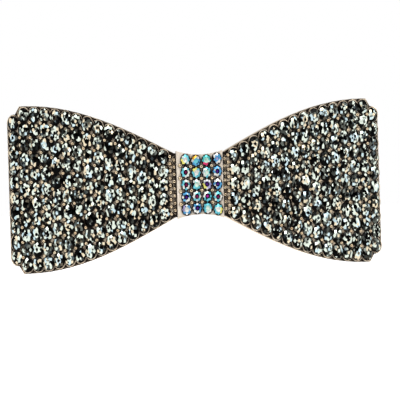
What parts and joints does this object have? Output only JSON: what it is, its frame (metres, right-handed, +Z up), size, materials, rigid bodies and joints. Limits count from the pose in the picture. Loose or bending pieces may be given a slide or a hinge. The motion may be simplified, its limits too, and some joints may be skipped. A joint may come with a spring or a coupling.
{
  "type": "brooch",
  "caption": "Bow-shaped brooch set with smoky stones and an iridescent stone knot, with a hinged pin and a turning safety catch on its back.",
  "frame": {"origin": "on the axis of the pin stem, in the middle plane of the bow between its two wings", "axes": "+X along the bow, to the right as seen from the front; +Y out of the back, towards the wearer; +Z up as worn; the front faces -Y"},
  "size_m": [0.0774, 0.0142, 0.0344],
  "materials": {
    "wing_metal": "polished, pale rose-gold plating",
    "knot_metal": "satin, pale champagne-gold plating",
    "bead_metal": "bright polished rose-gold plating",
    "smoky_stone": "faceted smoky grey glass, foil-backed so it's opaque",
    "iridescent_stone": "faceted clear glass with an iridescent coating, foil-backed",
    "pin_metal": "stamped, lightly brushed gold plating",
    "lock_metal": "turned, polished gold plating",
    "rivet_metal": "peened brass",
    "solder": "dull, slightly rough",
    "pin_wire": "drawn and polished spring wire"
  },
  "bodies": {
    "brooch": {"left_wing_setting": "wing_metal", "right_wing_setting": "wing_metal", "centre_bridge": "wing_metal", "knot_setting": "knot_metal", "left_bead_prongs": "bead_metal", "right_bead_prongs": "bead_metal", "knot_bead_prongs": "bead_metal", "left_stones_col_01": "smoky_stone", "left_stones_col_02": "smoky_stone", "left_stones_col_03": "smoky_stone", "left_stones_col_04": "smoky_stone", "left_stones_col_05": "smoky_stone", "left_stones_col_06": "smoky_stone", "left_stones_col_07": "smoky_stone", "left_stones_col_08": "smoky_stone", "left_stones_col_09": "smoky_stone", "left_stones_col_10": "smoky_stone", "left_stones_col_11": "smoky_stone", "left_stones_col_12": "smoky_stone", "left_stones_col_13": "smoky_stone", "left_stones_col_14": "smoky_stone", "left_stones_col_15": "smoky_stone", "right_stones_col_01": "smoky_stone", "right_stones_col_02": "smoky_stone", "right_stones_col_03": "smoky_stone", "right_stones_col_04": "smoky_stone", "right_stones_col_05": "smoky_stone", "right_stones_col_06": "smoky_stone", "right_stones_col_07": "smoky_stone", "right_stones_col_08": "smoky_stone", "right_stones_col_09": "smoky_stone", "right_stones_col_10": "smoky_stone", "right_stones_col_11": "smoky_stone", "right_stones_col_12": "smoky_stone", "right_stones_col_13": "smoky_stone", "right_stones_col_14": "smoky_stone", "right_stones_col_15": "smoky_stone", "knot_stones_row_1": "iridescent_stone", "knot_stones_row_2": "iridescent_stone", "knot_stones_row_3": "iridescent_stone", "knot_stones_row_4": "iridescent_stone", "knot_stones_row_5": "iridescent_stone", "pin_bar": "pin_metal", "left_solder_pad": "solder", "right_solder_pad": "solder", "hinge_bracket": "pin_metal", "hinge_rivet": "rivet_metal", "catch_barrel": "pin_metal"},
    "pin": {"pin_stem": "pin_wire"},
    "lock": {"safety_lock": "lock_metal"}
  },
  "joints": [
    {"name": "pin_hinge", "type": "hinge", "parent": "brooch", "child": "pin", "pos_m": [0.016, 0, 0], "axis": [0, 0, -1], "range_deg": [0, 85]},
    {"name": "lock_turn", "type": "hinge", "parent": "brooch", "child": "lock", "pos_m": [-0.0155, 0, 0], "axis": [-1, 0, 0], "range_deg": [0, 80]}
  ]
}
